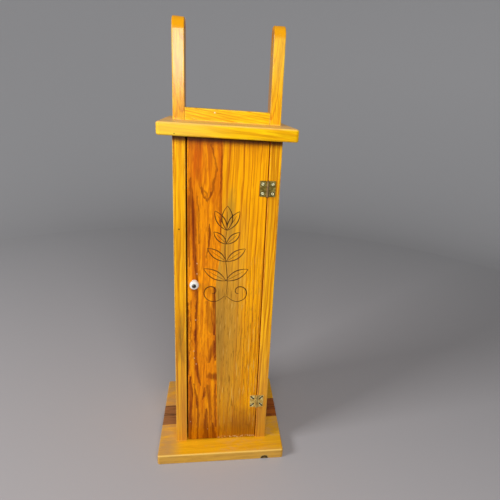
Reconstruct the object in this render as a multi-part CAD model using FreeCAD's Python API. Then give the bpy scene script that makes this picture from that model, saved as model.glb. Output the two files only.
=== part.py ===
import FreeCAD, Part

import math
import os

# A free-standing pine cabinet on a wide laminated base. One door, glued up from two boards, is inset
# between the side boards on two small brass butt hinges and is pulled by a white china knob. A U-shaped
# yoke stands on the top board, and grooves in its uprights take the spindle of a roll.
# Millimetres. The origin is the centre of the base's underside, +Z is up and the door faces -Y.

Vector = FreeCAD.Vector
X_AXIS = Vector(1, 0, 0)
Y_AXIS = Vector(0, 1, 0)
Z_AXIS = Vector(0, 0, 1)

# Carcass: two side boards with the back board between them
carcass_width = 165.0
carcass_depth = 165.0
carcass_height = 553.0
side_thickness = 19.0
back_thickness = 19.0
board_ease = 1.2

# Base: a front board, two dark strips and a rear board, edge to edge, with their joints a little askew
base_thickness = 18.0
base_side_overhang = 30.5
base_front_overhang = 37.0
base_rear_overhang = 28.0
base_front_board_depth = 89.5
dark_strip_depth = 29.2
base_joint_slant = 3.3
base_corner_radius = 4.0
base_top_radius = 2.0
base_bottom_radius = 1.0

# Top board
cap_thickness = 19.0
cap_overhang = 21.0
cap_corner_radius = 5.0
cap_edge_radius = 3.0

# Yoke: two round-topped uprights, set in from the ends of the top board, with a rail between their feet
yoke_inset = 16.75
upright_thickness = 19.0
upright_depth = 38.0
upright_height = 150.0
upright_ease = 1.5
rail_height = 19.0
groove_width = 13.0
groove_depth = 8.0
groove_drop = 40.0

# Door
door_thickness = 19.0
door_left_board_width = 54.0
door_latch_gap = 2.5
door_hinge_gap = 1.3
door_top_gap = 2.0
door_bottom_gap = 2.0
door_ease = 0.8

# Butt hinges, laid flat on the front with the barrel standing proud
upper_hinge_drop = 74.5
lower_hinge_rise = 82.5
hinge_height = 25.0
hinge_reach = 12.5
leaf_thickness = 1.2
leaf_corner_radius = 1.0
knuckle_radius = 2.2
knuckle_count = 5
knuckle_gap = 0.3
barrel_clearance = 0.4
hinge_pin_radius = 1.1
hinge_pin_tip = 0.8
hinge_pin_bevel = 0.5
running_clearance = 0.05

# Knob
knob_rise = 318.0
knob_edge_distance = 11.0
knob_foot_radius = 5.4
knob_neck_radius = 4.6
knob_neck_height = 4.0
knob_waist = 0.8
knob_radius = 7.5
knob_widest_height = 9.0
knob_bulge = 0.9
knob_projection = 14.5
knob_face_radius = 4.6
knob_recess_depth = 1.0
knob_screw_radius = 2.0
knob_screw_head_radius = 3.2
knob_screw_head_height = 2.0
knob_screw_tail = 1.0
knob_nut_flats = 7.0
knob_nut_thickness = 3.2
knob_washer_radius = 4.5
knob_washer_thickness = 0.8

# Magnetic catch inside, on the left side board, with its strike plate on the door
catch_drop = 60.0
catch_block_width = 14.0
catch_block_depth = 17.0
catch_block_height = 26.0
catch_ear_height = 10.0
catch_ear_thickness = 3.0
magnet_width = 4.0
magnet_depth = 10.0
magnet_height = 20.0
pole_plate_thickness = 1.2
pole_plate_projection = 0.6
catch_gap = 0.3
strike_width = 12.0
strike_height = 30.0
strike_thickness = 1.0
strike_edge_distance = 1.5

# Fasteners
fastener_clearance = 0.05
pan_head_bevel = 0.8
leaf_screw_radius = 1.2
leaf_screw_head_radius = 2.4
leaf_screw_length = 12.0
leaf_screw_end_distance = 5.0
leaf_screw_edge_distance = 4.5
strike_screw_head_radius = 2.2
strike_screw_length = 11.0
catch_screw_radius = 1.4
catch_screw_head_radius = 2.6
catch_screw_head_height = 1.4
catch_screw_length = 11.0
wood_screw_radius = 2.1
wood_screw_head_radius = 4.2
base_screw_sink = 1.0
base_screw_bite = 21.0
base_screw_setback = 30.0
yoke_screw_bite = 11.0
rail_screw_spacing = 70.0
nail_radius = 0.9
nail_head_radius = 1.4
nail_head_height = 1.5
nail_length = 45.0
cap_nail_setback = 25.0
back_nail_count = 4
back_nail_margin = 60.0
rail_nail_spacing = 18.0

# Places that follow from the sizes above
base_width = carcass_width + 2 * base_side_overhang
base_depth = carcass_depth + base_front_overhang + base_rear_overhang
front = -base_depth / 2 + base_front_overhang
rear = front + carcass_depth
middle = (front + rear) / 2
half_width = carcass_width / 2
inner_half_width = half_width - side_thickness
side_centre = half_width - side_thickness / 2
back_front = rear - back_thickness
back_centre = rear - back_thickness / 2
carcass_bottom = base_thickness
carcass_top = carcass_bottom + carcass_height
cap_top = carcass_top + cap_thickness
upright_top = cap_top + upright_height
rail_top = cap_top + rail_height
upright_outer = half_width + cap_overhang - yoke_inset
upright_inner = upright_outer - upright_thickness
upright_centre = upright_outer - upright_thickness / 2
yoke_front = middle - upright_depth / 2
yoke_rear = middle + upright_depth / 2
door_left = -inner_half_width + door_latch_gap
door_right = inner_half_width - door_hinge_gap
door_joint = door_left + door_left_board_width
door_back = front + door_thickness
door_bottom = carcass_bottom + door_bottom_gap
door_top = carcass_top - door_top_gap
hinge_x = inner_half_width - door_hinge_gap / 2
hinge_y = front - knuckle_radius
hinge_centres = {
    "upper_hinge": carcass_top - upper_hinge_drop,
    "lower_hinge": carcass_bottom + lower_hinge_rise,
}
knob_seat = Vector(door_left + knob_edge_distance, front, carcass_bottom + knob_rise)
knob_back_seat = knob_seat + Y_AXIS * door_thickness
catch_z = carcass_top - catch_drop
catch_wall = -inner_half_width
strike_left = door_left + strike_edge_distance
strike_back = door_back + strike_thickness
catch_front = strike_back + catch_gap + pole_plate_projection


def box(x_range, y_range, z_range):
    corner = Vector(x_range[0], y_range[0], z_range[0])
    sizes = [high - low for low, high in (x_range, y_range, z_range)]
    return Part.makeBox(*sizes, corner)


def runs_along(edge, axis):
    """True for a straight edge that is parallel to the axis."""
    if not isinstance(edge.Curve, Part.Line):
        return False
    return abs(edge.tangentAt(edge.FirstParameter).dot(axis)) > 0.999


def lies_at(edge, axis, place):
    """True for an edge that stays at that coordinate along the axis."""
    return all(abs(point.dot(axis) - place) < 1e-6 for point in edge.discretize(3))


def eased(shape, radius, wanted):
    """Rounds over the edges that the test wanted picks."""
    return shape.makeFillet(radius, [edge for edge in shape.Edges if wanted(edge)])


def rounded_slab(x_range, y_range, z_range, corner_radius, top_radius, bottom_radius):
    """A board with its upright corners rounded and its top and bottom edges rounded over."""
    slab = eased(box(x_range, y_range, z_range), corner_radius, lambda edge: runs_along(edge, Z_AXIS))
    slab = eased(slab, top_radius, lambda edge: lies_at(edge, Z_AXIS, z_range[1]))
    return eased(slab, bottom_radius, lambda edge: lies_at(edge, Z_AXIS, z_range[0]))


def turned(points):
    """A solid of revolution about Z from an outline of (radius, height) points."""
    outline = [Vector(radius, 0, height) for radius, height in points]
    face = Part.Face(Part.makePolygon(outline + outline[:1]))
    return face.revolve(Vector(0, 0, 0), Z_AXIS, 360)


def aimed(shape, place, direction):
    """The shape with its origin moved to place and its +Z turned along direction."""
    moved = shape.copy()
    moved.Placement = FreeCAD.Placement(place, FreeCAD.Rotation(Z_AXIS, direction))
    return moved


def flat_head_screw(radius, head_radius, length, gap):
    """A countersunk screw that points along -Z, with the face of its head at the origin."""
    return turned(
        [
            (0, 0),
            (head_radius + gap, 0),
            (radius + gap, radius - head_radius),
            (radius + gap, -length - gap),
            (0, -length - gap),
        ]
    )


def pan_head_screw(radius, head_radius, head_height, length, gap):
    """A screw that points along -Z, with the seat of its raised head at the origin."""
    return turned(
        [
            (0, head_height),
            (head_radius - pan_head_bevel, head_height),
            (head_radius, head_height - pan_head_bevel),
            (head_radius, 0),
            (radius + gap, 0),
            (radius + gap, -length - gap),
            (0, -length - gap),
        ]
    )


def nail(gap=0.0):
    """A finishing nail that points along -Z, with its head flush at the origin."""
    return turned(
        [
            (0, 0),
            (nail_head_radius + gap, 0),
            (nail_head_radius + gap, -nail_head_height),
            (nail_radius + gap, -nail_head_height - nail_radius),
            (nail_radius + gap, -nail_length - gap),
            (0, -nail_length - gap),
        ]
    )


def leaf_screw(gap=0.0):
    return flat_head_screw(leaf_screw_radius, leaf_screw_head_radius, leaf_screw_length, gap)


def strike_screw(gap=0.0):
    return flat_head_screw(leaf_screw_radius, strike_screw_head_radius, strike_screw_length, gap)


def catch_screw(gap=0.0):
    return pan_head_screw(
        catch_screw_radius, catch_screw_head_radius, catch_screw_head_height, catch_screw_length, gap
    )


def base_screw(gap=0.0):
    length = base_thickness - base_screw_sink + base_screw_bite
    return flat_head_screw(wood_screw_radius, wood_screw_head_radius, length, gap)


def yoke_screw(gap=0.0):
    return flat_head_screw(wood_screw_radius, wood_screw_head_radius, cap_thickness + yoke_screw_bite, gap)


def fasteners(make, seats):
    """One fastener for each seat, a pair of the place of its head and the way the head faces."""
    return Part.makeCompound([aimed(make(), place, direction) for place, direction in seats])


def drilled(shape, *fastenings):
    """The shape with a hole for each fastener of each (make, seats) pair."""
    holes = [
        aimed(make(fastener_clearance), place, direction)
        for make, seats in fastenings
        for place, direction in seats
    ]
    return shape.cut(Part.makeCompound(holes))


def base_screw_seats():
    places = [
        Vector(x, y, base_screw_sink)
        for x in (-side_centre, side_centre)
        for y in (front + base_screw_setback, rear - base_screw_setback)
    ]
    places.append(Vector(0, back_centre, base_screw_sink))
    return [(place, -Z_AXIS) for place in places]


def cap_nail_seats():
    places = [
        Vector(x, y, cap_top)
        for x in (-side_centre, side_centre)
        for y in (front + cap_nail_setback, rear - cap_nail_setback)
    ]
    places.append(Vector(0, back_centre, cap_top))
    return [(place, Z_AXIS) for place in places]


def back_nail_seats():
    step = (carcass_height - 2 * back_nail_margin) / (back_nail_count - 1)
    heights = [carcass_bottom + back_nail_margin + i * step for i in range(back_nail_count)]
    return [
        (Vector(sign * half_width, back_centre, height), sign * X_AXIS)
        for sign in (-1, 1)
        for height in heights
    ]


def yoke_screw_seats():
    half_spacing = rail_screw_spacing / 2
    offsets = (-upright_centre, -half_spacing, half_spacing, upright_centre)
    return [(Vector(x, middle, carcass_top), -Z_AXIS) for x in offsets]


def rail_nail_seats():
    return [
        (Vector(sign * upright_outer, middle + offset, cap_top + rail_height / 2), sign * X_AXIS)
        for sign in (-1, 1)
        for offset in (-rail_nail_spacing / 2, rail_nail_spacing / 2)
    ]


def leaf_screw_seats(side):
    """Seats on both hinges' frame leaves (side 1) or door leaves (side -1)."""
    x = hinge_x + side * (hinge_reach - leaf_screw_edge_distance)
    spread = hinge_height / 2 - leaf_screw_end_distance
    return [
        (Vector(x, front - leaf_thickness, centre + offset), -Y_AXIS)
        for centre in hinge_centres.values()
        for offset in (-spread, spread)
    ]


def catch_screw_seats():
    spread = (catch_block_height + catch_ear_height) / 2
    y = catch_front + catch_block_depth / 2
    x = catch_wall + catch_ear_thickness
    return [(Vector(x, y, catch_z + offset), X_AXIS) for offset in (-spread, spread)]


def strike_screw_seats():
    return [(Vector(strike_left + strike_width / 2, strike_back, catch_z), Y_AXIS)]


def base_pieces():
    """The base as one rounded slab, cut across on the slant into its boards and strips."""
    half_x = base_width / 2
    half_y = base_depth / 2
    slab = rounded_slab(
        (-half_x, half_x),
        (-half_y, half_y),
        (0, base_thickness),
        base_corner_radius,
        base_top_radius,
        base_bottom_radius,
    )
    well_radius = wood_screw_head_radius + fastener_clearance
    for seat, _ in base_screw_seats():
        slab = slab.cut(Part.makeCylinder(well_radius, base_screw_sink, Vector(seat.x, seat.y, 0)))
    slab = drilled(slab, (base_screw, base_screw_seats()))

    joint = base_front_board_depth - half_y
    cuts = (-base_depth, joint, joint + dark_strip_depth, joint + 2 * dark_strip_depth, base_depth)
    names = ("base_front_board", "base_dark_strip_front", "base_dark_strip_rear", "base_rear_board")
    pieces = {}
    for name, y_range in zip(names, zip(cuts, cuts[1:])):
        share = box((-base_width, base_width), y_range, (0, base_thickness))
        share.rotate(Vector(0, 0, 0), Z_AXIS, base_joint_slant)
        pieces[name] = slab.common(share)
    return pieces


def side_board(sign):
    """One side of the carcass, eased along its front edges and its outer rear edge."""
    outer = sign * half_width
    board = box(sorted((sign * inner_half_width, outer)), (front, rear), (carcass_bottom, carcass_top))

    def wanted(edge):
        at_outer_rear = lies_at(edge, Y_AXIS, rear) and lies_at(edge, X_AXIS, outer)
        return runs_along(edge, Z_AXIS) and (lies_at(edge, Y_AXIS, front) or at_outer_rear)

    hardware = (leaf_screw, leaf_screw_seats(1)) if sign > 0 else (catch_screw, catch_screw_seats())
    return drilled(
        eased(board, board_ease, wanted),
        (base_screw, base_screw_seats()),
        (nail, cap_nail_seats() + back_nail_seats()),
        hardware,
    )


def back_panel():
    board = box((-inner_half_width, inner_half_width), (back_front, rear), (carcass_bottom, carcass_top))
    return drilled(board, (base_screw, base_screw_seats()), (nail, cap_nail_seats() + back_nail_seats()))


def top_cap():
    cap = rounded_slab(
        (-half_width - cap_overhang, half_width + cap_overhang),
        (front - cap_overhang, rear + cap_overhang),
        (carcass_top, cap_top),
        cap_corner_radius,
        cap_edge_radius,
        cap_edge_radius,
    )
    return drilled(cap, (yoke_screw, yoke_screw_seats()), (nail, cap_nail_seats()))


def yoke_upright(sign):
    """A round-topped upright with a groove down its inner face that ends in a round spindle seat."""
    crown_radius = upright_depth / 2
    shoulder = upright_top - crown_radius
    corners = [
        Vector(0, yoke_rear, shoulder),
        Vector(0, yoke_rear, cap_top),
        Vector(0, yoke_front, cap_top),
        Vector(0, yoke_front, shoulder),
    ]
    crown = Part.Arc(corners[3], Vector(0, middle, upright_top), corners[0]).toShape()
    outline = Part.Wire(Part.makePolygon(corners).Edges + [crown])
    inner = sign * upright_inner
    blank = Part.Face(outline).extrude(Vector(sign * upright_thickness, 0, 0))
    blank.translate(Vector(inner, 0, 0))

    def wanted(edge):
        return not runs_along(edge, X_AXIS) and not lies_at(edge, Z_AXIS, cap_top)

    seat = Vector(inner, middle, upright_top - groove_drop)
    groove = Part.makeCylinder(groove_width / 2, groove_depth, seat, sign * X_AXIS)
    mouth = box(
        sorted((inner, inner + sign * groove_depth)),
        (middle - groove_width / 2, middle + groove_width / 2),
        (seat.z, upright_top),
    )
    upright = eased(blank, upright_ease, wanted).cut(groove.fuse(mouth))
    return drilled(upright, (yoke_screw, yoke_screw_seats()), (nail, rail_nail_seats()))


def yoke_rail():
    rail = box((-upright_inner, upright_inner), (yoke_front, yoke_rear), (cap_top, rail_top))

    def wanted(edge):
        return runs_along(edge, X_AXIS) and lies_at(edge, Z_AXIS, rail_top)

    return drilled(
        eased(rail, upright_ease, wanted),
        (yoke_screw, yoke_screw_seats()),
        (nail, rail_nail_seats()),
    )


def door_board(x_range, outer_x):
    """One of the door's two boards, eased round its face edges but square along the glued joint."""
    board = box(x_range, (front, door_back), (door_bottom, door_top))

    def wanted(edge):
        on_a_face = lies_at(edge, Y_AXIS, front) or lies_at(edge, Y_AXIS, door_back)
        at_an_end = lies_at(edge, Z_AXIS, door_bottom) or lies_at(edge, Z_AXIS, door_top)
        return on_a_face and (at_an_end or lies_at(edge, X_AXIS, outer_x))

    board = drilled(
        eased(board, door_ease, wanted),
        (leaf_screw, leaf_screw_seats(-1)),
        (strike_screw, strike_screw_seats()),
    )
    return board.cut(knob_screw_hole(knob_seat, door_thickness))


def hinge_leaf(centre, side):
    """A leaf rolled into every second knuckle: side 1 lies on the frame, side -1 on the door."""
    bottom = centre - hinge_height / 2
    outer = hinge_x + side * hinge_reach
    plate_start = hinge_x + side * (knuckle_radius + barrel_clearance)
    leaf_y = (front - leaf_thickness, front)
    plate = box(sorted((plate_start, outer)), leaf_y, (bottom, bottom + hinge_height))

    def wanted(edge):
        return runs_along(edge, Y_AXIS) and lies_at(edge, X_AXIS, outer)

    pitch = hinge_height / knuckle_count
    rolled = []
    for i in range(0 if side > 0 else 1, knuckle_count, 2):
        low = bottom + i * pitch + knuckle_gap / 2
        high = low + pitch - knuckle_gap
        rolled.append(Part.makeCylinder(knuckle_radius, high - low, Vector(hinge_x, hinge_y, low)))
        rolled.append(box(sorted((hinge_x, plate_start)), leaf_y, (low, high)))
    leaf = eased(plate, leaf_corner_radius, wanted).multiFuse(rolled).removeSplitter()
    bore_radius = hinge_pin_radius + running_clearance
    bore = Part.makeCylinder(bore_radius, hinge_height, Vector(hinge_x, hinge_y, bottom))
    return drilled(leaf.cut(bore), (leaf_screw, leaf_screw_seats(side)))


def hinge_pin(centre):
    """A pin whose bevelled tips stand out of both ends of the barrel."""
    half = hinge_height / 2
    tip_radius = hinge_pin_radius - hinge_pin_bevel
    pin = turned(
        [
            (0, -half - hinge_pin_tip),
            (tip_radius, -half - hinge_pin_tip),
            (hinge_pin_radius, -half - hinge_pin_tip + hinge_pin_bevel),
            (hinge_pin_radius, half + hinge_pin_tip - hinge_pin_bevel),
            (tip_radius, half + hinge_pin_tip),
            (0, half + hinge_pin_tip),
        ]
    )
    return aimed(pin, Vector(hinge_x, hinge_y, centre), Z_AXIS)


def bulged_arc(start, end, bulge):
    """An arc in the XZ plane that stands out to the right of its chord by bulge."""
    chord = end - start
    outward = Vector(chord.z, 0, -chord.x).normalize()
    return Part.Arc(start, (start + end) * 0.5 + outward * bulge, end).toShape()


def knob():
    """A turned china knob: a waisted neck on a foot, and a round head recessed for the screw."""
    bore = knob_screw_radius + fastener_clearance
    recess = knob_screw_head_radius + fastener_clearance
    recess_floor = knob_projection - knob_recess_depth
    foot = Vector(knob_foot_radius, 0, 0)
    neck = Vector(knob_neck_radius, 0, knob_neck_height)
    widest = Vector(knob_radius, 0, knob_widest_height)
    face = Vector(knob_face_radius, 0, knob_projection)
    inside = [
        face,
        Vector(recess, 0, knob_projection),
        Vector(recess, 0, recess_floor),
        Vector(bore, 0, recess_floor),
        Vector(bore, 0, 0),
        foot,
    ]
    outside = [
        bulged_arc(foot, neck, -knob_waist),
        bulged_arc(neck, widest, knob_bulge),
        bulged_arc(widest, face, knob_bulge),
    ]
    outline = Part.Wire(outside + Part.makePolygon(inside).Edges)
    return aimed(Part.Face(outline).revolve(Vector(0, 0, 0), Z_AXIS, 360), knob_seat, -Y_AXIS)


def knob_screw():
    """The machine screw: its head lies in the knob's face, its tail passes the door and the nut."""
    depth_in_knob = knob_projection - knob_recess_depth
    length = depth_in_knob + door_thickness + knob_washer_thickness + knob_nut_thickness + knob_screw_tail
    screw = pan_head_screw(knob_screw_radius, knob_screw_head_radius, knob_screw_head_height, length, 0)
    return aimed(screw, knob_seat - Y_AXIS * depth_in_knob, -Y_AXIS)


def knob_screw_hole(place, depth):
    return Part.makeCylinder(knob_screw_radius + fastener_clearance, depth, place, Y_AXIS)


def knob_washer():
    disc = Part.makeCylinder(knob_washer_radius, knob_washer_thickness, knob_back_seat, Y_AXIS)
    return disc.cut(knob_screw_hole(knob_back_seat, knob_washer_thickness))


def knob_nut():
    """A hexagon nut on the inside of the door."""
    corner_radius = knob_nut_flats / 2 / math.cos(math.pi / 6)
    place = knob_back_seat + Y_AXIS * knob_washer_thickness
    angles = [i * math.pi / 3 for i in range(6)]
    points = [place + Vector(math.cos(angle), 0, math.sin(angle)) * corner_radius for angle in angles]
    blank = Part.Face(Part.makePolygon(points + points[:1])).extrude(Y_AXIS * knob_nut_thickness)
    return blank.cut(knob_screw_hole(place, knob_nut_thickness))


def magnet_stack():
    """The catch's magnet, and the two pole plates beside it that stand out of the housing."""
    centre = catch_wall + catch_block_width / 2
    left = centre - magnet_width / 2
    right = centre + magnet_width / 2
    z_range = (catch_z - magnet_height / 2, catch_z + magnet_height / 2)
    magnet = box((left, right), (catch_front, catch_front + magnet_depth), z_range)
    plate_y = (catch_front - pole_plate_projection, catch_front + magnet_depth)
    plates = [
        box((left - pole_plate_thickness, left), plate_y, z_range),
        box((right, right + pole_plate_thickness), plate_y, z_range),
    ]
    return magnet, Part.makeCompound(plates)


def catch_housing():
    """A moulded block with a screw ear above and below, hollowed for the magnet and its plates."""
    half = catch_block_height / 2
    y_range = (catch_front, catch_front + catch_block_depth)
    block = box((catch_wall, catch_wall + catch_block_width), y_range, (catch_z - half, catch_z + half))
    ears = box(
        (catch_wall, catch_wall + catch_ear_thickness),
        y_range,
        (catch_z - half - catch_ear_height, catch_z + half + catch_ear_height),
    )
    housing = block.fuse(ears).removeSplitter()
    for piece in magnet_stack():
        housing = housing.cut(piece)
    return drilled(housing, (catch_screw, catch_screw_seats()))


def strike_plate():
    plate = box(
        (strike_left, strike_left + strike_width),
        (door_back, strike_back),
        (catch_z - strike_height / 2, catch_z + strike_height / 2),
    )
    return drilled(plate, (strike_screw, strike_screw_seats()))


def all_pieces():
    pieces = base_pieces()
    pieces["base_screws"] = fasteners(base_screw, base_screw_seats())
    pieces["left_side"] = side_board(-1)
    pieces["right_side"] = side_board(1)
    pieces["back_panel"] = back_panel()
    pieces["back_nails"] = fasteners(nail, back_nail_seats())
    pieces["top_cap"] = top_cap()
    pieces["cap_nails"] = fasteners(nail, cap_nail_seats())
    pieces["yoke_left_upright"] = yoke_upright(-1)
    pieces["yoke_right_upright"] = yoke_upright(1)
    pieces["yoke_rail"] = yoke_rail()
    pieces["yoke_screws"] = fasteners(yoke_screw, yoke_screw_seats())
    pieces["rail_nails"] = fasteners(nail, rail_nail_seats())
    pieces["door_left_board"] = door_board((door_left, door_joint), door_left)
    pieces["door_right_board"] = door_board((door_joint, door_right), door_right)
    pieces["knob"] = knob()
    pieces["knob_screw"] = knob_screw()
    pieces["knob_washer"] = knob_washer()
    pieces["knob_nut"] = knob_nut()
    for hinge, centre in hinge_centres.items():
        pieces[hinge + "_frame_leaf"] = hinge_leaf(centre, 1)
        pieces[hinge + "_door_leaf"] = hinge_leaf(centre, -1)
        pieces[hinge + "_pin"] = hinge_pin(centre)
    pieces["hinge_frame_screws"] = fasteners(leaf_screw, leaf_screw_seats(1))
    pieces["hinge_door_screws"] = fasteners(leaf_screw, leaf_screw_seats(-1))
    pieces["catch_housing"] = catch_housing()
    pieces["catch_magnet"], pieces["catch_pole_plates"] = magnet_stack()
    pieces["catch_screws"] = fasteners(catch_screw, catch_screw_seats())
    pieces["strike_plate"] = strike_plate()
    pieces["strike_screw"] = fasteners(strike_screw, strike_screw_seats())
    return pieces


os.makedirs("parts", exist_ok=True)
for name, shape in all_pieces().items():
    if not shape.isValid():
        raise ValueError(name + " is not a valid shape")
    shape.exportStep("parts/" + name + ".step")
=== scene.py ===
import math

import bpy
from mathutils import Matrix, Vector


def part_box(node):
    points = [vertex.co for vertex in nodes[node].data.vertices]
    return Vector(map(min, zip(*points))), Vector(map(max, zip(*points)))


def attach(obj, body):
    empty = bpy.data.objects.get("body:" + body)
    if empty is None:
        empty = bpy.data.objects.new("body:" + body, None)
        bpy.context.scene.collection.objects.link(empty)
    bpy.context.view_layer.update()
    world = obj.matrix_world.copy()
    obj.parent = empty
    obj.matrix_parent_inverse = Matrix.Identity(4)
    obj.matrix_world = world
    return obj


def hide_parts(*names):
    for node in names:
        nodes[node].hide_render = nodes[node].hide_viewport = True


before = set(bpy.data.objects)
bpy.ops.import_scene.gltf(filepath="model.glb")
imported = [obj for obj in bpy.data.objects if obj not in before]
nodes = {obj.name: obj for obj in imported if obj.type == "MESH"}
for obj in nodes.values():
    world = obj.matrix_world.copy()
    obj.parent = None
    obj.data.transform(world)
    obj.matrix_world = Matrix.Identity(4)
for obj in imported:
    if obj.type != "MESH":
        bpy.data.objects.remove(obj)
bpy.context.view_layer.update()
mm = 0.001


# The view stands in front of the door, a little to its left and just above the top board. It looks
# down on the cabinet and is tipped a few degrees, as a camera held in the hand is.
picture_width = 500
focal_length_px = 452.9
optical_centre_px = (289.6, 257.3)
eye = Vector((-20.4, -783.1, 627.3)) * mm
yaw = math.radians(10.14)
pitch = math.radians(-18.83)
roll = math.radians(4.13)

forward = Vector((math.sin(yaw) * math.cos(pitch), math.cos(yaw) * math.cos(pitch), math.sin(pitch)))
level = Vector((math.cos(yaw), -math.sin(yaw), 0))
above = level.cross(forward)
right = level * math.cos(roll) + above * math.sin(roll)
up = above * math.cos(roll) - level * math.sin(roll)

bpy.ops.object.select_all(action="DESELECT")
bpy.ops.object.camera_add()
camera = bpy.context.object
camera.matrix_world = Matrix.Translation(eye) @ Matrix((right, up, -forward)).transposed().to_4x4()
camera.data.sensor_width = 36
camera.data.lens = camera.data.sensor_width * focal_length_px / picture_width
camera.data.shift_x = 0.5 - optical_centre_px[0] / picture_width
camera.data.shift_y = optical_centre_px[1] / picture_width - 0.5
bpy.context.scene.camera = camera
bpy.context.scene.view_settings.view_transform = "Standard"


# The studio is a round sweep in one matt paint: a plain pale floor that curves up into a grey wall all
# round. The wall lets light through, so that it only shows behind the cabinet and in the varnish.
floor_radius = 1.5
sweep_radius = 0.9
sweep_steps = 20
wall_height = 2.8
rim_segments = 128
fade_start = 0.3
paint_roughness = 0.55
paint_sheen = 0.3


def tone(red, green, blue):
    """A colour as the eye reads it, 0 to 255 in each channel, as the linear one that a shader takes."""
    shares = [channel / 255 for channel in (red, green, blue)]
    linear = [share / 12.92 if share <= 0.04045 else ((share + 0.055) / 1.055) ** 2.4 for share in shares]
    return (*linear, 1.0)


def fill(tree, node, inputs):
    """Fills inputs of a shader node, by name or place, with values or with the sockets that feed them."""
    for key, value in inputs.items():
        if isinstance(value, bpy.types.NodeSocket):
            tree.links.new(value, node.inputs[key])
        else:
            node.inputs[key].default_value = value


def add_node(tree, kind, inputs, **settings):
    node = tree.nodes.new("ShaderNode" + kind)
    for name, value in settings.items():
        setattr(node, name, value)
    fill(tree, node, inputs)
    return node


def length_of(tree, vector):
    return add_node(tree, "VectorMath", {0: vector}, operation="LENGTH").outputs["Value"]


def smooth_step(tree, value, low, high, start=0.0, end=1.0):
    """A value that goes from start to end as the given one goes from low to high."""
    inputs = {"Value": value, "From Min": low, "From Max": high, "To Min": start, "To Max": end}
    return add_node(tree, "MapRange", inputs, interpolation_type="SMOOTHSTEP").outputs["Result"]


def mix(tree, factor, first, second, blend_type="MIX"):
    inputs = {0: factor, 6: first, 7: second}
    return add_node(tree, "Mix", inputs, data_type="RGBA", blend_type=blend_type).outputs[2]


def new_material(name):
    """A new material, its tree, its shader, and the place on the object that its patterns read."""
    material = bpy.data.materials.new(name)
    material.use_nodes = True
    tree = material.node_tree
    place = add_node(tree, "TexCoord", {}).outputs["Object"]
    return material, tree, tree.nodes["Principled BSDF"], place


def make_studio_paint(floor_color, wall_color):
    """Matt paint that goes from the floor's colour to the wall's."""
    paint, tree, shader, place = new_material("studio_paint")
    fade = smooth_step(tree, length_of(tree, place), fade_start, floor_radius + sweep_radius)
    fill(tree, shader, {
        "Base Color": mix(tree, fade, floor_color, wall_color),
        "Roughness": paint_roughness,
        "Specular IOR Level": paint_sheen,
    })
    return paint


studio_paint = make_studio_paint(tone(182, 178, 180), tone(196, 196, 199))

bpy.ops.mesh.primitive_circle_add(vertices=rim_segments, radius=floor_radius, fill_type="NGON")
floor = bpy.context.object
floor.name = "floor"
floor.data.materials.append(studio_paint)

bpy.ops.mesh.primitive_circle_add(vertices=rim_segments, radius=floor_radius, fill_type="NOTHING")
wall = bpy.context.object
wall.name = "studio_wall"
bpy.ops.object.mode_set(mode="EDIT")
reach = floor_radius
height = 0.0
for step in range(1, sweep_steps + 2):
    turn = min(step / sweep_steps, 1) * math.pi / 2
    new_reach = floor_radius + sweep_radius * math.sin(turn)
    new_height = sweep_radius * (1 - math.cos(turn)) if step <= sweep_steps else wall_height
    bpy.ops.mesh.extrude_edges_move(TRANSFORM_OT_translate={"value": (0, 0, new_height - height)})
    bpy.ops.transform.resize(value=(new_reach / reach, new_reach / reach, 1))
    reach = new_reach
    height = new_height
bpy.ops.object.mode_set(mode="OBJECT")
bpy.ops.object.shade_smooth()
wall.data.materials.append(studio_paint)
wall.visible_shadow = False
wall.visible_diffuse = False


# The light is two large soft windows above the height of the yoke, one in front and one to the left, a
# small pane that glints in the left upright, and a grey sky to fill the shadows.
window_aim = Vector((0.0, 0.0, 0.40))
windows = (
    ("left_window", Vector((-2.00, -0.85, 1.35)), (0.9, 0.6), 36.0),
    ("front_window", Vector((0.10, -1.50, 1.30)), (1.0, 0.5), 18.5),
    ("window_pane", Vector((-0.175, -1.46, 0.80)), (0.14, 0.26), 4.2),
)
sky_strength = 0.14

for name, place, size, power in windows:
    bpy.ops.object.light_add(type="AREA", location=place)
    window = bpy.context.object
    window.name = name
    window.data.shape = "RECTANGLE"
    window.data.size, window.data.size_y = size
    window.data.energy = power
    window.visible_diffuse = name != "window_pane"
    window.visible_glossy = name != "front_window"
    window.rotation_euler = (place - window_aim).to_track_quat("Z", "Y").to_euler()

sky = bpy.data.worlds.new("sky")
sky.use_nodes = True
sky_light = {"Color": (1.0, 1.0, 1.0, 1.0), "Strength": sky_strength}
fill(sky.node_tree, sky.node_tree.nodes["Background"], sky_light)
bpy.context.scene.world = sky


# The base is a slab glued up from two pine boards with two dark strips between them, varnished amber.
# Its figure is that of sawn logs: rings about a heart that lies outside each board, bent by growth.
def maths(tree, operation, *values):
    return add_node(tree, "Math", dict(enumerate(values)), operation=operation).outputs[0]


def vectors(tree, operation, *values):
    return add_node(tree, "VectorMath", dict(enumerate(values)), operation=operation).outputs["Vector"]


def scaled(tree, vector, amount):
    return add_node(tree, "VectorMath", {0: vector, "Scale": amount}, operation="SCALE").outputs["Vector"]


def dot(tree, first, second):
    return add_node(tree, "VectorMath", {0: first, 1: second}, operation="DOT_PRODUCT").outputs["Value"]


def noise(tree, vector, spread, detail=2.0, roughness=0.5):
    """The outputs of noise with so many waves in a metre along each axis."""
    waves = vectors(tree, "MULTIPLY", vector, spread)
    inputs = {"Vector": waves, "Scale": 1.0, "Detail": detail, "Roughness": roughness}
    return add_node(tree, "TexNoise", inputs).outputs


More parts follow.
